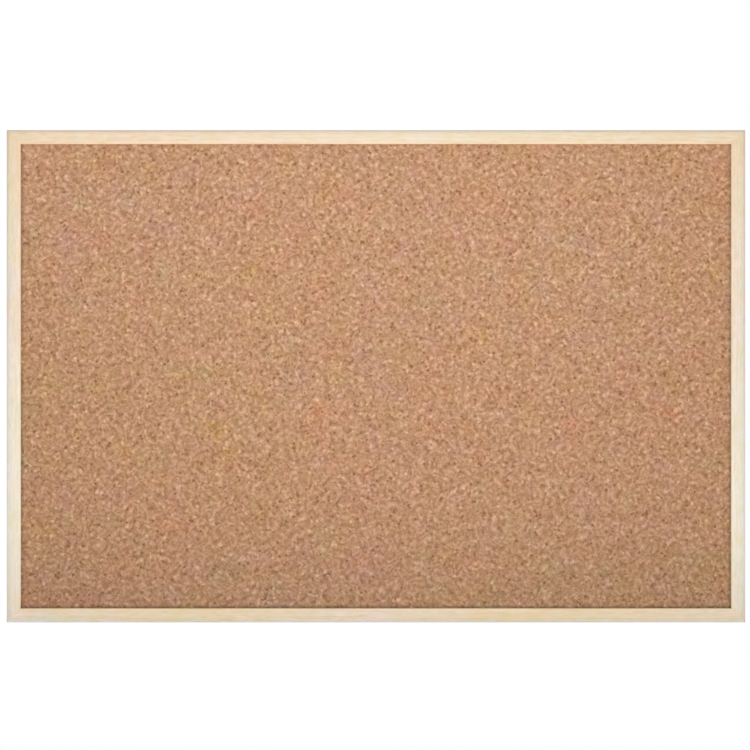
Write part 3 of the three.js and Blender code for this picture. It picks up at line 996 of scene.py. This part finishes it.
def screw_mesh(name, sizes):
    """A pan head wood screw that points to -Y, with a cut thread and a cross recess."""
    head, whole, core, shank = sizes.screw_head, sizes.screw_length, 0.78 * MM, 1.1 * MM
    high, rim, ease = 1.4 * MM, 0.4 * MM, 0.12 * MM
    neck, neck_end, thread_start = shank * 0.93, -0.7 * MM, -0.9 * MM
    pitch, half_ridge, tip_length, blunt = 1.1 * MM, 0.22, 2.6 * MM, 0.02 * MM
    slot_long, slot_wide, slot_depths, slot_turn = 2.6 * MM, 0.6 * MM, (0.90 * MM, 0.93 * MM), 0.5
    steps, rows = 36, 110
    profile = [(core, thread_start), (neck, neck_end), (neck, 0.0)]
    profile += arc((head - ease, ease), ease, -RIGHT, RIGHT, 4)
    dome = arc((0.0, 0.0), 1.0, 0.0, RIGHT, 12)
    profile += [(head * x, rim + (high - rim) * y) for x, y in dome[1:-1]]
    angles = [TURN * step / steps for step in range(steps)]
    rings = []
    for row in range(rows, 0, -1):
        along = thread_start - (whole + thread_start) * row / rows
        taper = min(1.0, (whole + along) / tip_length)
        ring = []
        for a in angles:
            phase = (along / pitch + a / TURN) % 1.0
            ridge = max(0.0, 1 - abs(phase - 0.5) / half_ridge)
            radius = (core + (shank - core) * ridge) * taper + blunt
            ring.append((radius * math.cos(a), along, radius * math.sin(a)))
        rings.append(ring)
    rings += [[(r * math.cos(a), y, r * math.sin(a)) for a in angles] for r, y in profile]
    form = bmesh.new()
    loops = loft(form, rings, caps=False)
    form.faces.new(loops[0])
    fan(form, (0.0, high, 0.0), loops[-1])
    arms = [
        cross_slot(f"{name}_arm_{n}", slot_long, slot_wide, deep, high, n * RIGHT + slot_turn)
        for n, deep in enumerate(slot_depths)
    ]
    return cut_away(as_mesh(name, form), arms, name)


class CORKBOARD_OT_hangers(Operator):
    """Build both hangers: the folded strap, the D ring and the screw"""

    bl_idname = "corkboard.hangers"
    bl_label = "Hangers"

    def execute(self, context):
        sizes, zinc = context.scene.corkboard_sizes, context.scene.corkboard_colours.zinc
        strap_zinc = zinc_finish("zinc_plated_sheet", zinc, (0.6, 7.0, 0.6))
        ring_zinc = zinc_finish("zinc_plated_ring", zinc, (5.0, 5.0, 0.5))
        screw_zinc = zinc_finish("zinc_plated_screw", zinc, (4.0, 0.8, 4.0))
        strap_back, head_seat, clearance = -0.4 * MM, -0.3 * MM, 0.3 * MM
        reach = sizes.ring_leg + sizes.ring_half
        lean = Matrix.Rotation(math.asin((strap_back + sizes.ring_wire + clearance) / reach), 4, "X")
        seat = Matrix.Translation((0.0, head_seat, -sizes.strap_drop))
        for side_name, _ in SIDES:
            bar = Matrix.Translation(bar_place(side_name))
            strap = strap_mesh(f"{side_name}_folded_strap", sizes)
            ring = ring_mesh(f"{side_name}_d_ring", sizes)
            screw = screw_mesh(f"{side_name}_wood_screw", sizes)
            for kind, mesh, finish, place, body in (
                ("strap", strap, strap_zinc, bar, BOARD),
                ("ring", ring, ring_zinc, bar @ lean, f"{side_name}_ring"),
                ("screw", screw, screw_zinc, bar @ seat, BOARD),
            ):
                node = f"{side_name}_hanger_{kind}"
                add_piece(mesh.name, mesh, finish, node, place, body)
        return {"FINISHED"}


# Bumpers


def bumper_mesh(name):
    """A round rubber foot with a softly domed side and a flat face for the wall."""
    low, high = BUMPER_BOX
    radius, tall = (high.x - low.x) / 2, high.y - low.y
    flat, ease = 3.2 * MM, 0.25 * MM
    profile = [(0.0, 0.0), (radius - ease, 0.0)]
    profile += arc((radius - ease, ease), ease, -RIGHT, RIGHT, 4)[1:]
    dome = arc((0.0, 0.0), 1.0, 0.0, RIGHT, 14)
    profile += [(flat + (radius - flat) * x, ease + (tall - ease) * y) for x, y in dome[1:]]
    profile += [(flat * share, tall) for share in (0.7, 0.35, 0.0)]
    return as_mesh(name, lathe(profile, 48))


class CORKBOARD_OT_bumpers(Operator):
    """Build the two rubber bumpers at the lower corners of the back"""

    bl_idname = "corkboard.bumpers"
    bl_label = "Bumpers"

    def execute(self, context):
        finish = rubber_finish(context.scene.corkboard_colours.rubber)
        for side_name, _ in SIDES:
            low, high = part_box(f"{side_name}_bumper")
            place = Matrix.Translation(((low.x + high.x) / 2, low.y, (low.z + high.z) / 2))
            mesh = bumper_mesh(f"{side_name}_rubber_foot")
            add_piece(mesh.name, mesh, finish, f"{side_name}_bumper", place)
        return {"FINISHED"}


# Floor, lights and camera


def add_light(name, kind, power, spot, target, **settings):
    """A studio light that faces the target."""
    light = bpy.data.lights.new(name, kind)
    light.energy = power
    for setting, value in settings.items():
        setattr(light, setting, value)
    lamp = linked(name, light)
    lamp.location = spot
    lamp.rotation_euler = (Vector(target) - lamp.location).to_track_quat("-Z", "Y").to_euler()


def white_surround(fill):
    """A plain surround that looks white and lights the board softly from all around."""
    world = bpy.data.worlds.new("white_surround")
    world.use_nodes = True
    bpy.context.scene.world = world
    nodes = Nodes(world.node_tree)
    seen = nodes.add("ShaderNodeLightPath", output="Is Camera Ray")
    surround = world.node_tree.nodes["Background"]
    nodes.plug(surround.inputs["Color"], (1.0, 1.0, 1.0))
    nodes.plug(surround.inputs["Strength"], fill + seen * (1.0 - fill))


class CORKBOARD_OT_stage(Operator):
    """Set up the plain floor, the soft lights and the frontal camera"""

    bl_idname = "corkboard.stage"
    bl_label = "Floor, lights and camera"

    def execute(self, context):
        scene, colours = context.scene, context.scene.corkboard_colours
        low, high = CAD_BOX
        middle = Vector((0.0, low.y, (low.z + high.z) / 2))
        reach, behind, level = 9.0, 3.0, -0.6
        mesh = bpy.data.meshes.new("floor")
        corners = [
            (-reach, -reach, level), (reach, -reach, level),
            (reach, behind, level), (-reach, behind, level),
        ]
        mesh.from_pydata(corners, [], [(0, 1, 2, 3)])
        mesh.materials.append(floor_finish(colours.floor))
        floor = linked("floor", mesh)
        white_surround(colours.fill_light)
        key_spot, key_target = (0.0, -1.55, 0.25), (0.0, 0.0, 0.46)
        back_power, back_spot = 9.0, (0.8, 1.6, 0.9)
        add_light("key_light", "SPOT", colours.key_light, key_spot, key_target,
                  spot_size=math.radians(52), spot_blend=1.0, shadow_soft_size=0.28)
        add_light("back_light", "AREA", back_power, back_spot, middle,
                  shape="RECTANGLE", size=1.2, size_y=0.8)
        distance, seen_width, photo_pixels = 1.9, 0.6088, 750
        right_of_middle, below_middle = 1.0, 1.3
        pixel = seen_width / photo_pixels
        camera = bpy.data.cameras.new("camera")
        camera.lens = camera.sensor_width * distance / seen_width
        view = linked("camera", camera)
        view.location = middle + Vector((-right_of_middle * pixel, -distance, below_middle * pixel))
        view.rotation_euler = (RIGHT, 0.0, 0.0)
        scene.camera = view
        scene.view_settings.view_transform = "Standard"
        return {"FINISHED"}


class CORKBOARD_PT_pieces(Panel):
    """Lists the steps that build the board"""

    bl_idname = "CORKBOARD_PT_pieces"
    bl_label = "Cork Board"
    bl_space_type = "VIEW_3D"
    bl_region_type = "UI"
    bl_category = "Cork Board"

    def draw(self, context):
        for step in STEPS:
            self.layout.operator(step.bl_idname)


STEPS = (
    CORKBOARD_OT_stage, CORKBOARD_OT_rails, CORKBOARD_OT_cork, CORKBOARD_OT_backing,
    CORKBOARD_OT_staples, CORKBOARD_OT_hangers, CORKBOARD_OT_bumpers,
)
CLASSES = (CorkBoardSizes, CorkBoardColours, *STEPS, CORKBOARD_PT_pieces)


def register():
    for made in CLASSES:
        bpy.utils.register_class(made)
    bpy.types.Scene.corkboard_sizes = PointerProperty(type=CorkBoardSizes)
    bpy.types.Scene.corkboard_colours = PointerProperty(type=CorkBoardColours)


def unregister():
    del bpy.types.Scene.corkboard_colours
    del bpy.types.Scene.corkboard_sizes
    for made in reversed(CLASSES):
        bpy.utils.unregister_class(made)


def main():
    register()
    for step in STEPS:
        group, name = step.bl_idname.split(".")
        getattr(getattr(bpy.ops, group), name)()


if __name__ == "__main__":
    main()
